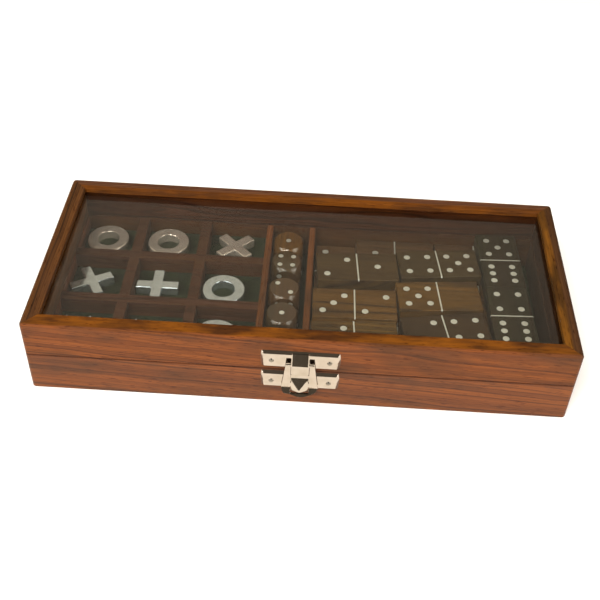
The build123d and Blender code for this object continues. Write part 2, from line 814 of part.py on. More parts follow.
def row_places(tiles_x, rows_y, values, floor):
    """List a lower layer's four rows of two tiles."""
    return [
        (left, right, Location((tiles_x[index % 2], rows_y[index // 2], floor)))
        for index, (left, right) in enumerate(values)
    ]


def column_places(x, tiles_y, values, floor):
    """List a lower layer's column of two turned tiles."""
    return [
        (left, right, Location((x, y, floor), (0, 0, 90)))
        for (left, right), y in zip(values, tiles_y)
    ]


middle_z = FLOOR_Z + TILE_THICKNESS
lower_places = row_places(BOTTOM_X, BOTTOM_ROWS_Y, BOTTOM_VALUES, FLOOR_Z)
lower_places += column_places(BOTTOM_X[2], BOTTOM_COLUMN_Y, BOTTOM_COLUMN, FLOOR_Z)
lower_places += row_places(MIDDLE_X, MIDDLE_ROWS_Y, MIDDLE_VALUES, middle_z)
lower_places += column_places(MIDDLE_X[2], MIDDLE_COLUMN_Y, MIDDLE_COLUMN, middle_z)
lower_tiles = []
lower_inlays = []
for left, right, place in lower_places:
    inlay = tile_inlay(left, right)
    lower_tiles += [solid.moved(place) for solid in tile_body(inlay).solids()]
    lower_inlays += [solid.moved(place) for solid in inlay.solids()]
save(Compound(children=lower_tiles), "lower_dominoes")
save(Compound(children=lower_inlays), "lower_domino_inlays")

for left, right, x, y, turn in TOP_TILES:
    name = f"domino_{left}_{right}"
    place = Location((x, y, FLOOR_Z + 2 * TILE_THICKNESS), (0, 0, turn))
    inlay = tile_inlay(left, right)
    with BuildPart() as tile:
        with Locations(place):
            add(tile_body(inlay))
    save(tile.part, name)
    with BuildPart() as tile_metal:
        with Locations(place):
            add(inlay)
    save(tile_metal.part, name + "_inlay")
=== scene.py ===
"""The looks of a games compendium box: sheesham case, glazed lid, nickelled clasp, loose pieces."""

from __future__ import annotations

import json
import logging
import math
from dataclasses import dataclass, field, replace
from enum import Enum

import bpy
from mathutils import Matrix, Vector

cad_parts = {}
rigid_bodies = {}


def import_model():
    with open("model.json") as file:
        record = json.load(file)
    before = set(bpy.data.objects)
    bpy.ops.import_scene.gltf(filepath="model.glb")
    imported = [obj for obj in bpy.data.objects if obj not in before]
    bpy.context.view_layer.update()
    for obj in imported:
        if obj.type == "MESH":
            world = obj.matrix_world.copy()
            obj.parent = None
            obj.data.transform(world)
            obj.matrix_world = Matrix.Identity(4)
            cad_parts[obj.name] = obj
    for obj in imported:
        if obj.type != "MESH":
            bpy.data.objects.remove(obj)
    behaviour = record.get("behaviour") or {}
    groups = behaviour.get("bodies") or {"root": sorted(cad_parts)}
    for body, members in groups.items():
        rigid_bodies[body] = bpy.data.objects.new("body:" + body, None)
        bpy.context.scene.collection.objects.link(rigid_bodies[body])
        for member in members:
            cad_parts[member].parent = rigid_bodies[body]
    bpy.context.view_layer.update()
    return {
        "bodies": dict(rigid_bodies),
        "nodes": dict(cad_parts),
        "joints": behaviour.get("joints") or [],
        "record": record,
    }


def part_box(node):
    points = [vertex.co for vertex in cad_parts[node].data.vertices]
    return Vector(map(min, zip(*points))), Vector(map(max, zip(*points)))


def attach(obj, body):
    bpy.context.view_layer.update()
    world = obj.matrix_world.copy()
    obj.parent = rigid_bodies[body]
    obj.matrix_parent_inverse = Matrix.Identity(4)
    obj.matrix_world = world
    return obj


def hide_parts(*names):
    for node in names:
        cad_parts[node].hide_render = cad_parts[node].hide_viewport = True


log = logging.getLogger("games_box")

MM = 0.001


# ---------------------------------------------------------------- small helpers


def linear(code: str, alpha: float = 1.0) -> tuple[float, float, float, float]:
    """Turn an sRGB hex value into linear colour.

    Args:
        code: Six hex digits with a leading hash, as "#8a4a1e".
        alpha: Opacity to put behind the three colours.

    Returns:
        Linear red, green and blue, and the opacity.
    """
    channels = [int(code[i : i + 2], 16) / 255 for i in (1, 3, 5)]
    red, green, blue = (
        c / 12.92 if c <= 0.04045 else ((c + 0.055) / 1.055) ** 2.4 for c in channels
    )
    return red, green, blue, alpha


def add_node(
    tree: bpy.types.NodeTree,
    kind: str,
    settings: dict[str | int, object] | None = None,
    links: dict[str | int, bpy.types.NodeSocket] | None = None,
) -> bpy.types.Node:
    """Add one shader node, with its settings and the links into it.

    Args:
        tree: The node tree that takes the node.
        kind: The node's type, without the leading "ShaderNode".
        settings: Values for the node's own properties, or for its inputs by name or index.
        links: Output sockets of other nodes, by the input that each one feeds.

    Returns:
        The new node.
    """
    node = tree.nodes.new("ShaderNode" + kind)
    for key, value in (settings or {}).items():
        if isinstance(key, str) and hasattr(node, key):
            setattr(node, key, value)
        else:
            node.inputs[key].default_value = value
    for key, socket in (links or {}).items():
        tree.links.new(socket, node.inputs[key])
    return node


def set_ramp(node: bpy.types.Node, stops: list[tuple[float, tuple]]) -> bpy.types.Node:
    """Give a colour ramp its stops.

    Args:
        node: A colour ramp node.
        stops: Place and linear colour of each stop, in order.

    Returns:
        The same node.
    """
    elements = node.color_ramp.elements
    while len(elements) < len(stops):
        elements.new(1.0)
    for element, (place, colour) in zip(elements, stops):
        element.position = place
        element.color = colour
    return node


def grey(value: float) -> tuple[float, float, float, float]:
    """Give a linear grey."""
    return value, value, value, 1.0


def new_material(name: str) -> tuple[bpy.types.Material, bpy.types.NodeTree, bpy.types.Node]:
    """Start a material with one Principled shader on its output.

    Args:
        name: The finish's name.

    Returns:
        The material, its node tree and its Principled node.
    """
    material = bpy.data.materials.new(name)
    material.use_nodes = True
    tree = material.node_tree
    tree.nodes.clear()
    shader = add_node(tree, "BsdfPrincipled")
    add_node(tree, "OutputMaterial", links={"Surface": shader.outputs["BSDF"]})
    return material, tree, shader


def deselect_all() -> None:
    """Leave object mode with nothing selected."""
    if bpy.context.mode != "OBJECT":
        bpy.ops.object.mode_set(mode="OBJECT")
    bpy.ops.object.select_all(action="DESELECT")


def pick(piece: bpy.types.Object) -> None:
    """Select one object alone and make it the active one."""
    deselect_all()
    piece.select_set(True)
    bpy.context.view_layer.objects.active = piece


def apply_modifier(
    piece: bpy.types.Object, kind: str, settings: dict[str, object]
) -> None:
    """Add one modifier to a piece and apply it.

    Args:
        piece: The piece to change.
        kind: The modifier's type, as in "BEVEL".
        settings: The modifier's properties.
    """
    pick(piece)
    modifier = piece.modifiers.new(kind.lower(), kind)
    for key, value in settings.items():
        setattr(modifier, key, value)
    bpy.ops.object.modifier_apply(modifier=modifier.name)


def place_in_mesh(piece: bpy.types.Object) -> None:
    """Move a piece's place, turn and size into its mesh."""
    pick(piece)
    bpy.ops.object.transform_apply(location=True, rotation=True, scale=True)


def dress(piece: bpy.types.Object, material: bpy.types.Material) -> None:
    """Put one material on all of a piece."""
    if not piece.material_slots:
        piece.data.materials.append(material)
    for slot in piece.material_slots:
        slot.material = material


# ---------------------------------------------------------------- finishes


class Grain(Enum):
    """The way that a board's fibres run, as the turn that brings them to X."""

    LENGTH = (0.0, 0.0, 0.0)
    DEPTH = (0.0, 0.0, -90.0)
    UP = (0.0, 90.0, 0.0)


@dataclass(frozen=True)
class PaintedLightBand:
    """A band along one side of a board, recoloured as painted light in a mottle along the grain.

    On the walls' inner faces it is painted shade; by the lid rails' inner edges it is a
    painted amber highlight over darker painted shade.

    Attributes:
        amber: The colour of the bright patches there.
        umber: The colour of the dark patches.
        axis: 0, 1 or 2 for the direction across which it changes.
        start_mm: Where the change begins.
        end_mm: Where it is complete.
        above_mm: The height that it stays above. Below it, the inner side is
            darker and greyer, as painted shade.
    """

    amber: str
    umber: str
    axis: int
    start_mm: float
    end_mm: float
    above_mm: float = -100.0


@dataclass(frozen=True)
class Sheesham:
    """Sheesham, an Indian rosewood, planed, sanded and rubbed with wax.

    It gives the eye a red-brown ground with irregular dark veins, darker smoky patches,
    short open pores along the grain and a soft sheen.
    """

    name: str
    grain: Grain = Grain.LENGTH
    pale: str = "#723e1b"
    ground: str = "#623519"
    vein: str = "#442615"
    smoke: str = "#432a19"
    smoke_share: float = 0.42
    vein_mm: float = 3.6
    slant: tuple[float, float, float] = (0.0, 0.0, 0.0)
    pith_mm: tuple[float, float] = (30.0, -60.0)
    seed: float = 0.0
    roughness: float = 0.45
    specular: float = 0.18
    coat: float = 0.0
    # A band of painted highlight and painted shade along one side, where there is one.
    painted_light_band: PaintedLightBand | None = None
    # Height of a painted shade line along the seam of lid and box, where there is one.
    seam_mm: float | None = None

    COAT_ROUGHNESS = 0.2
    PORE_MM = 0.4
    FIBRE_MM = 0.8
    SMOKE_MM = 18.0
    FIGURE_MM = 8.0
    WARP_MM = 16.0
    WARP_AMOUNT_MM = 6.0
    # Strength of the painted seam shade.
    SEAM_SHADE = 0.6

    def make(self) -> bpy.types.Material:
        """Build the material.

        Returns:
            The finished material.
        """
        material, tree, shader = new_material(self.name)
        place = add_node(tree, "TexCoord").outputs["Object"]
        turn = [math.radians(a + b) for a, b in zip(self.grain.value, self.slant)]
        along = add_node(
            tree,
            "Mapping",
            {"Rotation": turn, "Location": (self.seed, 0.37 * self.seed, -0.61 * self.seed)},
            {"Vector": place},
        ).outputs["Vector"]
        centred = add_node(
            tree, "Mapping", {"Rotation": turn}, {"Vector": place}
        ).outputs["Vector"]
        band = self.veins(tree, along, centred)
        colour = set_ramp(
            add_node(tree, "ValToRGB", links={"Fac": band}),
            [
                (0.34, linear(self.ground)),
                (0.40, linear(self.vein)),
                (0.43, linear(self.ground)),
                (0.50, linear(self.pale)),
                (0.57, linear(self.ground)),
                (0.61, linear(self.vein)),
                (0.66, linear(self.pale)),
            ],
        ).outputs["Color"]
        colour = self.smoky(tree, along, colour)
        # Painted light along one side: painted highlight and painted shade.
        if self.painted_light_band:
            colour = self.paint_light_band(tree, along, place, colour)
        # A painted shade line along the seam between lid and box.
        if self.seam_mm is not None:
            colour = self.paint_seam_shade(tree, place, colour)
        fibre = self.fibres(tree, along, self.FIBRE_MM, 40.0, 3.0)
        colour = add_node(
            tree,
            "Mix",
            {"data_type": "RGBA", "blend_type": "OVERLAY", 0: 0.45},
            {6: colour, 7: fibre},
        ).outputs[2]
        pores = set_ramp(
            add_node(
                tree,
                "ValToRGB",
                links={"Fac": self.fibres(tree, along, self.PORE_MM, 16.0, 1.0)},
            ),
            [(0.63, grey(0.0)), (0.72, grey(1.0))],
        ).outputs["Color"]
        colour = add_node(
            tree,
            "Mix",
            {"data_type": "RGBA", "blend_type": "MULTIPLY", 7: linear("#8a6a58")},
            {0: pores, 6: colour},
        ).outputs[2]
        tree.links.new(colour, shader.inputs["Base Color"])
        rough = add_node(
            tree,
            "MapRange",
            {"To Min": self.roughness - 0.07, "To Max": self.roughness + 0.12},
            {"Value": fibre},
        ).outputs["Result"]
        tree.links.new(rough, shader.inputs["Roughness"])
        depth = add_node(
            tree,
            "Math",
            {"operation": "MULTIPLY_ADD", 1: -0.8, 2: 0.5},
            {0: pores},
        ).outputs[0]
        height = add_node(
            tree, "Math", {"operation": "MULTIPLY_ADD", 1: 0.25}, {0: fibre, 2: depth}
        ).outputs[0]
        bump = add_node(
            tree, "Bump", {"Strength": 0.35, "Distance": 0.12 * MM}, {"Height": height}
        )
        tree.links.new(bump.outputs["Normal"], shader.inputs["Normal"])
        shader.inputs["Specular IOR Level"].default_value = self.specular
        shader.inputs["Coat Weight"].default_value = self.coat
        shader.inputs["Coat Roughness"].default_value = self.COAT_ROUGHNESS
        return material

    def veins(
        self,
        tree: bpy.types.NodeTree,
        along: bpy.types.NodeSocket,
        centred: bpy.types.NodeSocket,
    ) -> bpy.types.NodeSocket:
        """Lay irregular growth rings round the tree's heart.

        Args:
            tree: The material's tree.
            along: Place with the fibres along X, shifted by the board's seed.
            centred: The same without the shift.

        Returns:
            A value that swings about 0.5 from ring to ring.
        """
        slice_of = add_node(
            tree,
            "Mapping",
            {
                "Scale": (0.02, 1.0, 1.0),
                "Location": (0.0, self.pith_mm[0] * MM, self.pith_mm[1] * MM),
            },
            {"Vector": centred},
        ).outputs["Vector"]
        radius = add_node(
            tree, "VectorMath", {"operation": "LENGTH"}, {0: slice_of}
        ).outputs["Value"]
        wander = self.fibres(tree, along, self.WARP_MM, 7.0, 2.0)
        radius = add_node(
            tree,
            "Math",
            {"operation": "MULTIPLY_ADD", 1: self.WARP_AMOUNT_MM * MM},
            {0: wander, 2: radius},
        ).outputs[0]
        return add_node(
            tree,
            "TexNoise",
            {
                "noise_dimensions": "1D",
                "Scale": 1 / (self.vein_mm * MM),
                "Detail": 3.0,
                "Roughness": 0.62,
            },
            {"W": radius},
        ).outputs["Fac"]

    def fibres(
        self,
        tree: bpy.types.NodeTree,
        along: bpy.types.NodeSocket,
        width_mm: float,
        stretch: float,
        detail: float,
    ) -> bpy.types.NodeSocket:
        """Lay noise that is drawn out along the grain.

        Args:
            tree: The material's tree.
            along: Place with the fibres along X.
            width_mm: The width of one streak.
            stretch: How many times longer than wide a streak is.
            detail: Octaves of finer noise.

        Returns:
            A value about 0.5.
        """
        drawn = add_node(
            tree, "Mapping", {"Scale": (1 / stretch, 1.0, 1.0)}, {"Vector": along}
        ).outputs["Vector"]
        return add_node(
            tree,
            "TexNoise",
            {"Scale": 1 / (width_mm * MM), "Detail": detail, "Roughness": 0.6},
            {"Vector": drawn},
        ).outputs["Fac"]

    def smoky(
        self,
        tree: bpy.types.NodeTree,
        along: bpy.types.NodeSocket,
        colour: bpy.types.NodeSocket,
    ) -> bpy.types.NodeSocket:
        """Darken broad drawn-out patches of the board.

        Args:
            tree: The material's tree.
            along: Place with the fibres along X.
            colour: The colour so far.

        Returns:
            The colour with the patches.
        """
        patch = self.fibres(tree, along, self.SMOKE_MM, 3.5, 3.0)
        share = set_ramp(
            add_node(tree, "ValToRGB", links={"Fac": patch}),
            [(0.46, grey(0.0)), (0.66, grey(self.smoke_share * 2))],
        ).outputs["Color"]
        return add_node(
            tree,
            "Mix",
            {"data_type": "RGBA", 7: linear(self.smoke)},
            {0: share, 6: colour},
        ).outputs[2]

    def paint_light_band(
        self,
        tree: bpy.types.NodeTree,
        along: bpy.types.NodeSocket,
        place: bpy.types.NodeSocket,
        colour: bpy.types.NodeSocket,
    ) -> bpy.types.NodeSocket:
        """Paint light and shade onto one side of the board.

        Above a height it takes a mottled amber and umber; below, a darker, greyer painted shade.

        Args:
            tree: The material's tree.
            along: Place with the fibres along X.
            place: Plain object place.
            colour: The colour so far.

        Returns:
            The colour with the painted light band.
        """
        parts = add_node(tree, "SeparateXYZ", links={"Vector": place}).outputs
        wander = self.fibres(tree, along, 5.0, 9.0, 2.0)
        shifted = add_node(
            tree,
            "Math",
            {"operation": "MULTIPLY_ADD", 1: 3.0 * MM},
            {0: wander, 2: parts[self.painted_light_band.axis]},
        ).outputs[0]
        inner = add_node(
            tree,
            "MapRange",
            {
                "interpolation_type": "SMOOTHSTEP",
                "From Min": (self.painted_light_band.start_mm + 1.5) * MM,
                "From Max": (self.painted_light_band.end_mm + 1.5) * MM,
            },
            {"Value": shifted},
        ).outputs["Result"]
        high = add_node(
            tree,
            "Math",
            {"operation": "GREATER_THAN", 1: self.painted_light_band.above_mm * MM},
            {0: parts["Z"]},
        ).outputs[0]
        share = add_node(
            tree, "Math", {"operation": "MULTIPLY"}, {0: inner, 1: high}
        ).outputs[0]
        # The band's painted light, mottled along the grain in amber and umber.
        figure = set_ramp(
            add_node(
                tree,
                "ValToRGB",
                links={"Fac": self.fibres(tree, along, self.FIGURE_MM, 3.6, 2.0)},
            ),
            [(0.38, linear(self.painted_light_band.umber)), (0.62, linear(self.painted_light_band.amber))],
        ).outputs["Color"]
        # Below above_mm the band's side is painted shade: a darker, greyer multiply.
        low = add_node(
            tree, "Math", {"operation": "SUBTRACT", 0: 1.0}, {1: high}
        ).outputs[0]
        painted_shade = add_node(
            tree, "Math", {"operation": "MULTIPLY"}, {0: inner, 1: low}
        ).outputs[0]
        colour = add_node(
            tree,
            "Mix",
            {"data_type": "RGBA", "blend_type": "MULTIPLY", 7: linear("#a08c80")},
            {0: painted_shade, 6: colour},
        ).outputs[2]
        tinted = add_node(
            tree, "Mix", {"data_type": "RGBA", 0: 0.85}, {6: colour, 7: figure}
        ).outputs[2]
        return add_node(
            tree, "Mix", {"data_type": "RGBA"}, {0: share, 6: colour, 7: tinted}
        ).outputs[2]


    def paint_seam_shade(
        self,
        tree: bpy.types.NodeTree,
        place: bpy.types.NodeSocket,
        colour: bpy.types.NodeSocket,
    ) -> bpy.types.NodeSocket:
        """Paint shade along the arrises where lid and box meet, standing in for the dark gap.

        Args:
            tree: The material's tree.
            place: Plain object place.
            colour: The colour so far.

        Returns:
            The colour with the painted shade line.
        """
        height = add_node(tree, "SeparateXYZ", links={"Vector": place}).outputs["Z"]
        above = add_node(
            tree, "Math", {"operation": "SUBTRACT", 1: self.seam_mm * MM}, {0: height}
        ).outputs[0]
        away = add_node(tree, "Math", {"operation": "ABSOLUTE"}, {0: above}).outputs[0]
        share = add_node(
            tree,
            "MapRange",
            {
                "From Min": 0.9 * MM,
                "From Max": 0.35 * MM,
                "To Max": self.SEAM_SHADE,
            },
            {"Value": away},
        ).outputs["Result"]
        # Mix in the painted shade's dark brown.
        return add_node(
            tree,
            "Mix",
            {"data_type": "RGBA", 7: linear("#2a130a")},
            {0: share, 6: colour},
        ).outputs[2]


@dataclass(frozen=True)
class BrightMetal:
    """Metal polished by hand or on a mop.

    It gives the eye mirror-like tone with faint wander in its gloss and very fine scratches.
    """

    name: str
    colour: str
    tarnish: str
    roughness: float
    tarnish_mm: float = 6.0
    scratch: float = 0.15
    scratch_mm: float = 0.35
    metallic: float = 1.0

    def make(self) -> bpy.types.Material:
        """Build the material.

        Returns:
            The finished material.
        """
        material, tree, shader = new_material(self.name)
        place = add_node(tree, "TexCoord").outputs["Object"]
        cloud = add_node(
            tree,
            "TexNoise",
            {"Scale": 1 / (self.tarnish_mm * MM), "Detail": 4.0, "Roughness": 0.6},
            {"Vector": place},
        ).outputs["Fac"]
        colour = set_ramp(
            add_node(tree, "ValToRGB", links={"Fac": cloud}),
            [(0.35, linear(self.colour)), (0.75, linear(self.tarnish))],
        ).outputs["Color"]
        tree.links.new(colour, shader.inputs["Base Color"])
        rough = add_node(
            tree,
            "MapRange",
            {"To Min": self.roughness * 0.75, "To Max": self.roughness * 1.35},
            {"Value": cloud},
        ).outputs["Result"]
        tree.links.new(rough, shader.inputs["Roughness"])
        drawn = add_node(
            tree, "Mapping", {"Scale": (0.08, 1.0, 1.0)}, {"Vector": place}
        ).outputs["Vector"]
        marks = add_node(
            tree,
            "TexNoise",
            {"Scale": 1 / (self.scratch_mm * MM), "Detail": 2.0},
            {"Vector": drawn},
        ).outputs["Fac"]
        bump = add_node(
            tree,
            "Bump",
            {"Strength": self.scratch, "Distance": 0.02 * MM},
            {"Height": marks},
        )
        tree.links.new(bump.outputs["Normal"], shader.inputs["Normal"])
        shader.inputs["Metallic"].default_value = self.metallic
        return material


@dataclass(frozen=True)
class Baize:
    """Baize, a woollen cloth with its nap raised and pressed, dyed bottle green.

    It gives the eye a dull dark green with a fuzzy, slightly mottled nap.
    """

    name: str
    colour: str = "#131a0b"
    worn: str = "#1d2611"
    thread_mm: float = 0.55
    nap_mm: float = 0.22

    def make(self) -> bpy.types.Material:
        """Build the material.

        Returns:
            The finished material.
        """
        material, tree, shader = new_material(self.name)
        place = add_node(tree, "TexCoord").outputs["Object"]
        mottle = add_node(
            tree, "TexNoise", {"Scale": 1 / (7.0 * MM), "Detail": 5.0}, {"Vector": place}
        ).outputs["Fac"]
        colour = set_ramp(
            add_node(tree, "ValToRGB", links={"Fac": mottle}),
            [(0.38, linear(self.colour)), (0.68, linear(self.worn))],
        ).outputs["Color"]
        tree.links.new(colour, shader.inputs["Base Color"])
        thread = add_node(
            tree, "TexVoronoi", {"Scale": 1 / (self.thread_mm * MM)}, {"Vector": place}
        ).outputs["Distance"]
        nap = add_node(
            tree,
            "TexNoise",
            {"Scale": 1 / (self.nap_mm * MM), "Detail": 3.0},
            {"Vector": place},
        ).outputs["Fac"]
        height = add_node(
            tree, "Math", {"operation": "MULTIPLY_ADD", 1: 0.5}, {0: thread, 2: nap}
        ).outputs[0]
        bump = add_node(
            tree, "Bump", {"Strength": 0.8, "Distance": 0.25 * MM}, {"Height": height}
        )
        tree.links.new(bump.outputs["Normal"], shader.inputs["Normal"])
        shader.inputs["Roughness"].default_value = 0.95
        shader.inputs["Specular IOR Level"].default_value = 0.1
        shader.inputs["Sheen Weight"].default_value = 0.12
        shader.inputs["Sheen Roughness"].default_value = 0.5
        return material


@dataclass(frozen=True)
class FloatGlass:
    """Clear float glass, 3 mm thick.

    It gives the eye a slight green cast and a clear reflection.
    Lamps shine through it.
    """

    name: str
    tint: str = "#f4f4ec"
    ior: float = 1.5

    def make(self) -> bpy.types.Material:
        """Build the material.

        Returns:
            The finished material.
        """
        material, tree, shader = new_material(self.name)
        shader.inputs["Base Color"].default_value = linear(self.tint)
        shader.inputs["Roughness"].default_value = 0.0
        shader.inputs["IOR"].default_value = self.ior
        shader.inputs["Transmission Weight"].default_value = 1.0
        path = add_node(tree, "LightPath").outputs
        passing = add_node(
            tree,
            "Math",
            {"operation": "MAXIMUM"},
            {0: path["Is Shadow Ray"], 1: path["Is Diffuse Ray"]},
        ).outputs[0]
        clear = add_node(tree, "BsdfTransparent", {"Color": linear(self.tint)})
        both = add_node(
            tree,
            "MixShader",
            links={0: passing, 1: shader.outputs["BSDF"], 2: clear.outputs["BSDF"]},
        )
        output = next(n for n in tree.nodes if n.type == "OUTPUT_MATERIAL")
        tree.links.new(both.outputs["Shader"], output.inputs["Surface"])
        return material


# ---------------------------------------------------------------- sub-assemblies


@dataclass
class Workshop:
    """What every sub-assembly shares: the frame and the finishes made so far."""

    frame: dict
    finishes: dict[str, bpy.types.Material] = field(default_factory=dict)

    def finish(self, recipe: Sheesham | BrightMetal | Baize | FloatGlass) -> bpy.types.Material:
        """Make a finish once and hand out the same material after that.

        Args:
            recipe: The finish wanted.

        Returns:
            Its material.
        """
        if recipe.name not in self.finishes:
            self.finishes[recipe.name] = recipe.make()
        return self.finishes[recipe.name]

    def node(self, name: str) -> bpy.types.Object:
        """Give the frame's own object for a node."""
        return self.frame["nodes"][name]

    def body_of(self, name: str) -> str:
        """Give the body that a node belongs to."""
        bodies = self.frame["record"]["behaviour"]["bodies"]
        return next(body for body, nodes in bodies.items() if name in nodes)

    def copy_of(self, name: str, piece_name: str) -> bpy.types.Object:
        """Make a clean, welded copy of a node's mesh as a new piece.

        Args:
            name: The node.
            piece_name: The new piece's name.

        Returns:
            The new piece.
        """
        piece = bpy.data.objects.new(piece_name, self.node(name).data.copy())
        bpy.context.scene.collection.objects.link(piece)
        pick(piece)
        bpy.ops.object.mode_set(mode="EDIT")
        bpy.ops.mesh.select_all(action="SELECT")
        bpy.ops.mesh.customdata_custom_splitnormals_clear()
        bpy.ops.mesh.remove_doubles(threshold=0.002 * MM)
        bpy.ops.mesh.dissolve_limited(angle_limit=math.radians(0.5))
        bpy.ops.object.mode_set(mode="OBJECT")
        return piece

    def stand_for(self, piece: bpy.types.Object, name: str) -> None:
        """Let a piece ride where a node rides and be shown in its place."""
        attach(piece, self.body_of(name))
        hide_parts(name)


@dataclass
class Case:
    """The box's walls, bottom, strips and dividers."""

    workshop: Workshop

    def build(self) -> None:
        """Dress every board of the case."""
        # The back wall and the right end carry painted shade on their inner faces.
        boards = {
            "front_wall": Sheesham("sheesham_front", slant=(0.0, -3.5, 0.0), seed=0.11),
            "back_wall": Sheesham(
                "sheesham_back",
                slant=(0.0, -1.5, 0.0),
                specular=0.08,
                seed=0.83,
                painted_light_band=PaintedLightBand("#3f2815", "#332011", 1, 56.8, 55.6),
            ),
            "left_wall": Sheesham("sheesham_left_end", Grain.DEPTH, seed=1.31),
            "right_wall": Sheesham(
                "sheesham_right_end",
                Grain.DEPTH,
                seed=1.77,
                painted_light_band=PaintedLightBand("#2b2016", "#221a12", 0, 139.6, 138.4),
            ),
            "bottom_panel": Sheesham(
                "sheesham_bottom", pale="#8d6542", ground="#775033", vein="#50331f", seed=2.2
            ),
            "board_panel": Sheesham("sheesham_panel", seed=2.6),
            "board_bearers": Sheesham("sheesham_bearers", Grain.DEPTH, seed=2.9),
            "grid_strips": Sheesham(
                "sheesham_strips",
                pale="#452b1f",
                ground="#3a2419",
                vein="#2f1d14",
                vein_mm=2.5,
                specular=0.03,
                seed=3.3,
            ),
            "dividers": Sheesham(
                "sheesham_dividers",
                Grain.DEPTH,
                pale="#6a3c1f",
                ground="#583119",
                vein="#402413",
                vein_mm=2.5,
                specular=0.03,
                seed=3.7,
            ),
        }
        # The walls get a painted shade line along the seam.
        seam_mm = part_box("front_wall")[1].z / MM
        for node, recipe in boards.items():
            if node.endswith("_wall"):
                recipe = replace(recipe, seam_mm=seam_mm)
            dress(self.workshop.node(node), self.workshop.finish(recipe))
            log.info("dressed %s", node)


@dataclass
class Lid:
    """The lid's four mitred rails and its glass."""

    workshop: Workshop

    def build(self) -> None:
        """Dress the rails and the glass."""
        # The front, back and right rails carry painted highlight and shade by their inner edges;
        # below the glass the back and right rails' inner faces are painted shade.
        rails = {
            "lid_front_rail": Sheesham(
                "sheesham_lid_front",
                slant=(0.0, -3.5, 0.0),
                specular=0.12,
                seed=0.11,
                painted_light_band=PaintedLightBand("#74400a", "#3a200b", 1, -63.3, -62.4),
            ),
            "lid_back_rail": Sheesham(
                "sheesham_lid_back",
                pale="#6c452b",
                ground="#573522",
                vein="#352014",
                specular=0.08,
                seed=4.4,
                painted_light_band=PaintedLightBand("#6b3907", "#462509", 1, 59.2, 57.6, 42.0),
            ),
            "lid_left_rail": Sheesham(
                "sheesham_lid_left",
                Grain.DEPTH,
                pale="#623c1d",
                ground="#4d2f17",
                vein="#2e1d10",
                specular=0.08,
                seed=5.1,
            ),
            "lid_right_rail": Sheesham(
                "sheesham_lid_right",
                Grain.DEPTH,
                pale="#4d311b",
                ground="#3d2615",
                vein="#24160d",
                specular=0.08,
                seed=5.9,
                painted_light_band=PaintedLightBand("#6e4311", "#41280d", 0, 142.4, 140.6, 42.0),
            ),
        }
        # The rails get a painted shade line along the seam.
        seam_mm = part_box("lid_front_rail")[0].z / MM
        for node, recipe in rails.items():
            recipe = replace(recipe, seam_mm=seam_mm)
            dress(self.workshop.node(node), self.workshop.finish(recipe))
            log.info("dressed %s", node)
        dress(self.workshop.node("glass_pane"), self.workshop.finish(FloatGlass("float_glass")))
        log.info("dressed glass_pane")


@dataclass
class Linings:
    """The three pieces of baize that line the compartments."""

    workshop: Workshop
    thickness: float = 0.8 * MM
    divider: float = 3.6 * MM
    margin: float = 0.15 * MM
    wave: float = 0.22 * MM
    cell: float = 2.5 * MM

    def build(self) -> None:
        """Cut, lay and dress the three pieces of cloth."""
        material = self.workshop.finish(Baize("bottle_green_baize"))
        low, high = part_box("baize_linings")
        panel_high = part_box("board_panel")[1]
        floor_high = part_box("bottom_panel")[1]
        divider_low, divider_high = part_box("dividers")
        wall = divider_low.x + self.divider
        step = divider_high.x - self.divider
        beds = {
            "baize_board": (low.x, divider_low.x, panel_high.z, "board_panel"),
            "baize_dice": (wall, step, floor_high.z, "bottom_panel"),
            "baize_dominoes": (divider_high.x, high.x, floor_high.z, "bottom_panel"),
        }
        cloths = [
            self.cloth(name, left, right, low.y, high.y, floor, bed)
            for name, (left, right, floor, bed) in beds.items()
        ]
        for cloth in cloths:
            dress(cloth, material)
            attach(cloth, "box")
            log.info("laid %s", cloth.name)
        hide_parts("baize_linings")

    def cloth(
        self,
        name: str,
        left: float,
        right: float,
        front: float,
        back: float,
        floor: float,
        bed: str,
    ) -> bpy.types.Object:
        """Lay one piece of cloth, with the slight unevenness of glued wool.

        Args:
            name: The piece's name.
            left: Its left edge.
            right: Its right edge.
            front: Its front edge.
            back: Its back edge.
            floor: The height of what it lies on.
            bed: The node that it lies on; not used.

        Returns:
            The cloth.
        """
        width = right - left - 2 * self.margin
        depth = back - front - 2 * self.margin
        deselect_all()
        bpy.ops.mesh.primitive_grid_add(
            x_subdivisions=max(6, round(width / self.cell)),
            y_subdivisions=round(depth / self.cell),
            size=1.0,
            location=((left + right) / 2, (front + back) / 2, floor + 0.02 * MM),
        )
        piece = bpy.context.object
        piece.name = name
        piece.scale = (width, depth, 1.0)
        place_in_mesh(piece)
        apply_modifier(piece, "SOLIDIFY", {"thickness": self.thickness, "offset": 1.0})
        self.unsettle(piece, floor + self.thickness / 2)
        return piece

    def unsettle(self, piece: bpy.types.Object, above: float) -> None:
        """Wave the cloth's upper side a little.

        Args:
            piece: The cloth.
            above: Only points above this height move.
        """
        group = piece.vertex_groups.new(name="upper_side")
        group.add([v.index for v in piece.data.vertices if v.co.z > above], 1.0, "REPLACE")
        texture = bpy.data.textures.new(piece.name + "_wave", "CLOUDS")
        texture.noise_scale = 9.0 * MM
        apply_modifier(
            piece,
            "DISPLACE",
            {
                "texture": texture,
                "direction": "Z",
                "strength": self.wave,
                "mid_level": 0.75,
                "vertex_group": group.name,
            },
        )
        pick(piece)
        bpy.ops.object.shade_smooth_by_angle(angle=math.radians(50))


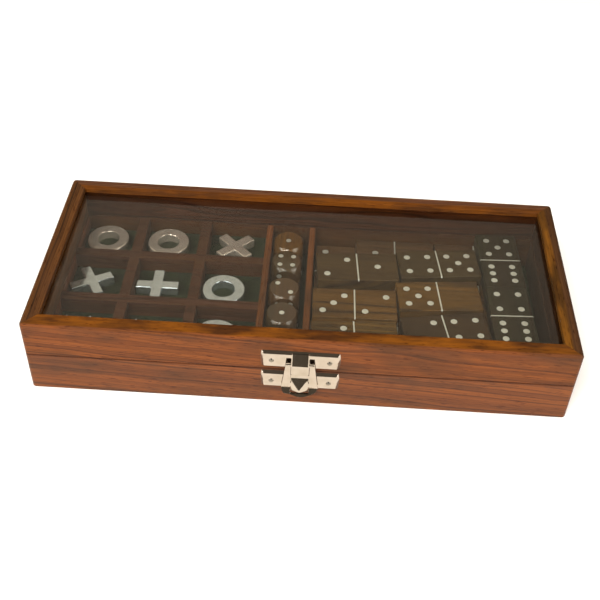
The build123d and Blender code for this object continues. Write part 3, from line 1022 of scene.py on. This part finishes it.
@dataclass
class Fittings:
    """The clasp, its nails, and the two hinges."""

    workshop: Workshop

    def build(self) -> None:
        """Round the pressed sheet's edges and plate it; dress nails and hinges."""
        nickel = self.workshop.finish(
            BrightMetal("bright_nickel_plate", "#c0b3a3", "#b0a391", 0.08, scratch=0.06)
        )
        brass = self.workshop.finish(
            BrightMetal("drawn_brass", "#c39a56", "#8d6a36", 0.3, scratch=0.3)
        )
        rounding_mm = {"clasp_lever": 0.36, "catch_plate": 0.2, "keeper_plate": 0.2}
        for node, width_mm in rounding_mm.items():
            piece = self.soften(node, width_mm)
            dress(piece, nickel)
            self.workshop.stand_for(piece, node)
            log.info("plated %s", piece.name)
        worn = self.workshop.finish(
            BrightMetal("worn_nickel_nail", "#8f8779", "#736b5f", 0.22, scratch=0.1)
        )
        for node in ("box_nails", "lid_nails"):
            dress(self.workshop.node(node), worn)
        for node in ("box_hinge_leaves", "lid_hinge_leaves", "hinge_pins"):
            dress(self.workshop.node(node), brass)

    def soften(self, node: str, width_mm: float) -> bpy.types.Object:
        """Copy one sheet-metal node and round its sharp edges as a press leaves them.

        Args:
            node: The node.
            width_mm: The rounding's width.

        Returns:
            The new piece.
        """
        piece = self.workshop.copy_of(node, node + "_pressed")
        apply_modifier(
            piece,
            "BEVEL",
            {
                "width": width_mm * MM,
                "segments": 2,
                "limit_method": "ANGLE",
                "angle_limit": math.radians(28),
                "use_clamp_overlap": True,
            },
        )
        pick(piece)
        bpy.ops.object.shade_smooth_by_angle(angle=math.radians(28))
        apply_modifier(piece, "WEIGHTED_NORMAL", {"mode": "FACE_AREA", "keep_sharp": True})
        return piece


@dataclass
class Noughts:
    """The nine noughts and crosses, cast in aluminium and finished by hand."""

    workshop: Workshop
    voxel: float = 0.35 * MM
    dent: float = 0.035 * MM

    def build(self) -> None:
        """Make each piece's cast and polished surface."""
        bright = BrightMetal(
            "polished_cast_aluminium",
            "#cdd5de",
            "#bfc6ce",
            0.12,
            tarnish_mm=5.0,
            scratch=0.08,
            metallic=0.9,
        )
        # The back row gets a warmer, less metallic copy of the metal: painted light standing in for
        # the brown reflection of the back wall.
        back_row_painted_light = BrightMetal(
            "back_row_aluminium_painted_light",
            "#d9cdc8",
            "#bfb0a9",
            0.16,
            tarnish_mm=5.0,
            scratch=0.1,
            metallic=0.76,
        )
        names = [n for n in self.workshop.frame["nodes"] if n.startswith(("nought_", "cross_"))]
        for name in sorted(names):
            # Back-row pieces take the painted-light copy.
            metal = self.workshop.finish(back_row_painted_light if "_back_" in name else bright)
            piece = self.workshop.copy_of(name, name + "_cast")
            apply_modifier(piece, "REMESH", {"mode": "VOXEL", "voxel_size": self.voxel})
            apply_modifier(piece, "SMOOTH", {"factor": 0.5, "iterations": 2})
            texture = bpy.data.textures.new(name + "_dents", "CLOUDS")
            texture.noise_scale = 6.5 * MM
            texture.noise_depth = 0
            apply_modifier(
                piece,
                "DISPLACE",
                {"texture": texture, "strength": self.dent, "mid_level": 0.62},
            )
            pick(piece)
            bpy.ops.object.shade_smooth()
            dress(piece, metal)
            self.workshop.stand_for(piece, name)
            log.info("cast %s", piece.name)


@dataclass
class Gaming:
    """The dice and dominoes."""

    workshop: Workshop

    DICE_WOODS = {
        "die_1": ("#5b3c16", "#4b3011"),
        "die_2": ("#3f2f1a", "#352614"),
        "die_3": ("#473019", "#3b2613"),
        "die_4": ("#3a2b19", "#312414"),
        "die_5": ("#41301b", "#352714"),
    }
    # Each tile's own wood tone; the two upright tiles at the back are also painted darker, as
    # painted shade.
    TOP_WOODS_AND_SHADE = {
        "domino_2_1": ("#46341f", "#3c2c1a"),
        "domino_4_5": ("#403220", "#362919"),
        "domino_3_2": ("#5d4020", "#4c3419"),
        "domino_5_0": ("#5a3e1c", "#503718"),
        "domino_3_1": ("#694b21", "#443119"),
        "domino_2_4": ("#3c2b1c", "#322417"),
        "domino_6_5": ("#2d281c", "#242017"),
        "domino_6_4": ("#2d291d", "#252118"),
    }

    def build(self) -> None:
        """Dress dice, tiles and their metal."""
        inlay = self.workshop.finish(
            BrightMetal(
                "inlaid_wire",
                "#dcdcd8",
                "#c5c4be",
                0.3,
                tarnish_mm=2.0,
                scratch=0.12,
                metallic=0.7,
            )
        )
        for name, node in self.workshop.frame["nodes"].items():
            if name.endswith(("_pips", "_inlay", "_inlays")):
                dress(node, inlay)
        for index, (name, (pale, ground)) in enumerate(self.DICE_WOODS.items()):
            recipe = Sheesham(
                name + "_wood",
                Grain.DEPTH,
                pale=pale,
                ground=ground,
                vein=ground,
                vein_mm=2.2,
                pith_mm=(12.0, -22.0),
                seed=6.7 + 0.7 * index,
                roughness=0.3,
                specular=0.05,
                coat=0.9,
            )
            dress(self.workshop.node(name), self.workshop.finish(recipe))
        for index, (name, (pale, ground)) in enumerate(self.TOP_WOODS_AND_SHADE.items()):
            upright = name in ("domino_6_5", "domino_6_4")
            recipe = Sheesham(
                name + "_wood",
                Grain.DEPTH if upright else Grain.LENGTH,
                pale=pale,
                ground=ground,
                vein="#2a1d14",
                smoke="#2a1f17",
                vein_mm=4.0,
                pith_mm=(18.0, -30.0),
                seed=9.0 + 0.9 * index,
                roughness=0.36,
                specular=0.08,
                coat=0.05,
            )
            dress(self.workshop.node(name), self.workshop.finish(recipe))
        lower = Sheesham(
            "lower_domino_wood", pale="#4a3422", ground="#3b2a1c", vein="#241912", seed=17.0
        )
        dress(self.workshop.node("lower_dominoes"), self.workshop.finish(lower))
        log.info("dressed dice and dominoes")


# ---------------------------------------------------------------- studio


@dataclass
class Studio:
    """The pale floor, the soft lights and the camera."""

    focal_px: float = 960.0
    picture_px: float = 600.0
    sensor_mm: float = 36.0
    eye_mm: tuple[float, float, float] = (8.42, -410.44, 399.29)
    turn_deg: tuple[float, float, float] = (47.021, -1.652, 3.056)
    floor_size: float = 6.0
    room_light: float = 0.3
    dark_room: float = 0.04
    window: float = 0.15
    front: float = 0.13
    backdrop: float = 0.68

    def build(self) -> None:
        """Set the stage."""
        self.floor()
        self.world()
        self.lamps()
        self.camera()
        bpy.context.scene.view_settings.view_transform = "Standard"

    def floor(self) -> None:
        """Lay a matt off-white sheet under the box."""
        deselect_all()
        bpy.ops.mesh.primitive_plane_add(size=self.floor_size, location=(0, 0, -0.0002))
        sheet = bpy.context.object
        sheet.name = "floor"
        material, tree, shader = new_material("off_white_floor")
        shader.inputs["Base Color"].default_value = linear("#f6f1e8")
        shader.inputs["Roughness"].default_value = 0.85
        shader.inputs["Specular IOR Level"].default_value = 0.2
        dress(sheet, material)

    def world(self) -> None:
        """Surround the box with a dim room, a window on its left and a pale wall behind.

        A camera sees the room as white. Mirrors see it dark, as bright metal does in a
        studio, with the soft window on the left; through the glass they see the pale wall.
        """
        world = bpy.data.worlds.new("studio")
        bpy.context.scene.world = world
        world.use_nodes = True
        tree = world.node_tree
        tree.nodes.clear()
        path = add_node(tree, "LightPath").outputs
        aim = add_node(tree, "TexCoord").outputs["Generated"]
        parts = add_node(tree, "SeparateXYZ", links={"Vector": aim}).outputs
        window = self.brightening(tree, parts["X"], 0.05, -0.35, self.window)
        front = self.brightening(tree, parts["Y"], -0.1, -0.4, self.front)
        mirrored = add_node(
            tree, "Math", {"operation": "MAXIMUM"}, {0: window, 1: front}
        ).outputs[0]
        wall = self.brightening(tree, parts["Y"], 0.0, 0.45, self.backdrop)
        white = add_node(tree, "Value").outputs[0]
        white.default_value = 1.0
        strength = add_node(tree, "Value").outputs[0]
        strength.default_value = self.room_light
        for ray, seen in (
            ("Is Glossy Ray", mirrored),
            ("Is Transmission Ray", wall),
            ("Is Camera Ray", white),
        ):
            strength = add_node(
                tree, "Mix", links={0: path[ray], 2: strength, 3: seen}
            ).outputs[0]
        tone = add_node(
            tree,
            "Mix",
            {"data_type": "RGBA", 6: linear("#fffdfa"), 7: linear("#fff0dc")},
            {0: path["Is Glossy Ray"]},
        ).outputs[2]
        light = add_node(
            tree, "Background", links={"Color": tone, "Strength": strength}
        )
        add_node(tree, "OutputWorld", links={"Surface": light.outputs["Background"]})

    def brightening(
        self,
        tree: bpy.types.NodeTree,
        direction: bpy.types.NodeSocket,
        dark_at: float,
        bright_at: float,
        brightness: float,
    ) -> bpy.types.NodeSocket:
        """Let the room go softly from dark to bright across one direction.

        Args:
            tree: The world's tree.
            direction: One part of the direction that a ray leaves in.
            dark_at: Where the room is dark.
            bright_at: Where it reaches its brightness.
            brightness: How bright it is there.

        Returns:
            The room's strength in that direction.
        """
        return add_node(
            tree,
            "MapRange",
            {
                "interpolation_type": "SMOOTHSTEP",
                "From Min": dark_at,
                "From Max": bright_at,
                "To Min": self.dark_room,
                "To Max": brightness,
            },
            {"Value": direction},
        ).outputs["Result"]

    def lamps(self) -> None:
        """Set the lamps: a big one far above the camera and a soft box on each side.

        The shadow falls behind the box. Bright metal doesn't mirror the big lamp.
        """
        self.soft_box("key", Vector((-0.75, -2.05, 2.8)), 1.4, 130.0).visible_glossy = False
        self.soft_box("left_box", Vector((-0.9, -0.52, 0.68)), 0.6, 9.0)
        self.soft_box("right_box", Vector((0.86, -0.52, 0.68)), 0.6, 9.0)

    def soft_box(
        self, name: str, place: Vector, size: float, watts: float
    ) -> bpy.types.Object:
        """Set one square soft lamp that points at the box.

        Args:
            name: The lamp's name.
            place: Where it stands.
            size: The length of its side.
            watts: Its power.

        Returns:
            The lamp.
        """
        bpy.ops.object.light_add(type="AREA", location=place)
        lamp = bpy.context.object
        lamp.name = name
        lamp.data.size = size
        lamp.data.energy = watts
        lamp.rotation_euler = place.to_track_quat("Z", "Y").to_euler()
        return lamp

    def camera(self) -> None:
        """Set the camera where the photograph was taken."""
        bpy.ops.object.camera_add(
            location=[v * MM for v in self.eye_mm],
            rotation=[math.radians(v) for v in self.turn_deg],
        )
        camera = bpy.context.object
        camera.data.sensor_width = self.sensor_mm
        camera.data.lens = self.sensor_mm * self.focal_px / self.picture_px
        camera.data.clip_start = 0.01
        bpy.context.scene.camera = camera


def main() -> None:
    """Build every sub-assembly in order, then the studio."""
    logging.basicConfig(level=logging.INFO)
    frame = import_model()
    deselect_all()
    workshop = Workshop(frame)
    for assembly in (Case, Lid, Linings, Fittings, Noughts, Gaming):
        assembly(workshop).build()
        log.info("finished %s", assembly.__name__)
    Studio().build()


if __name__ == "__main__":
    main()
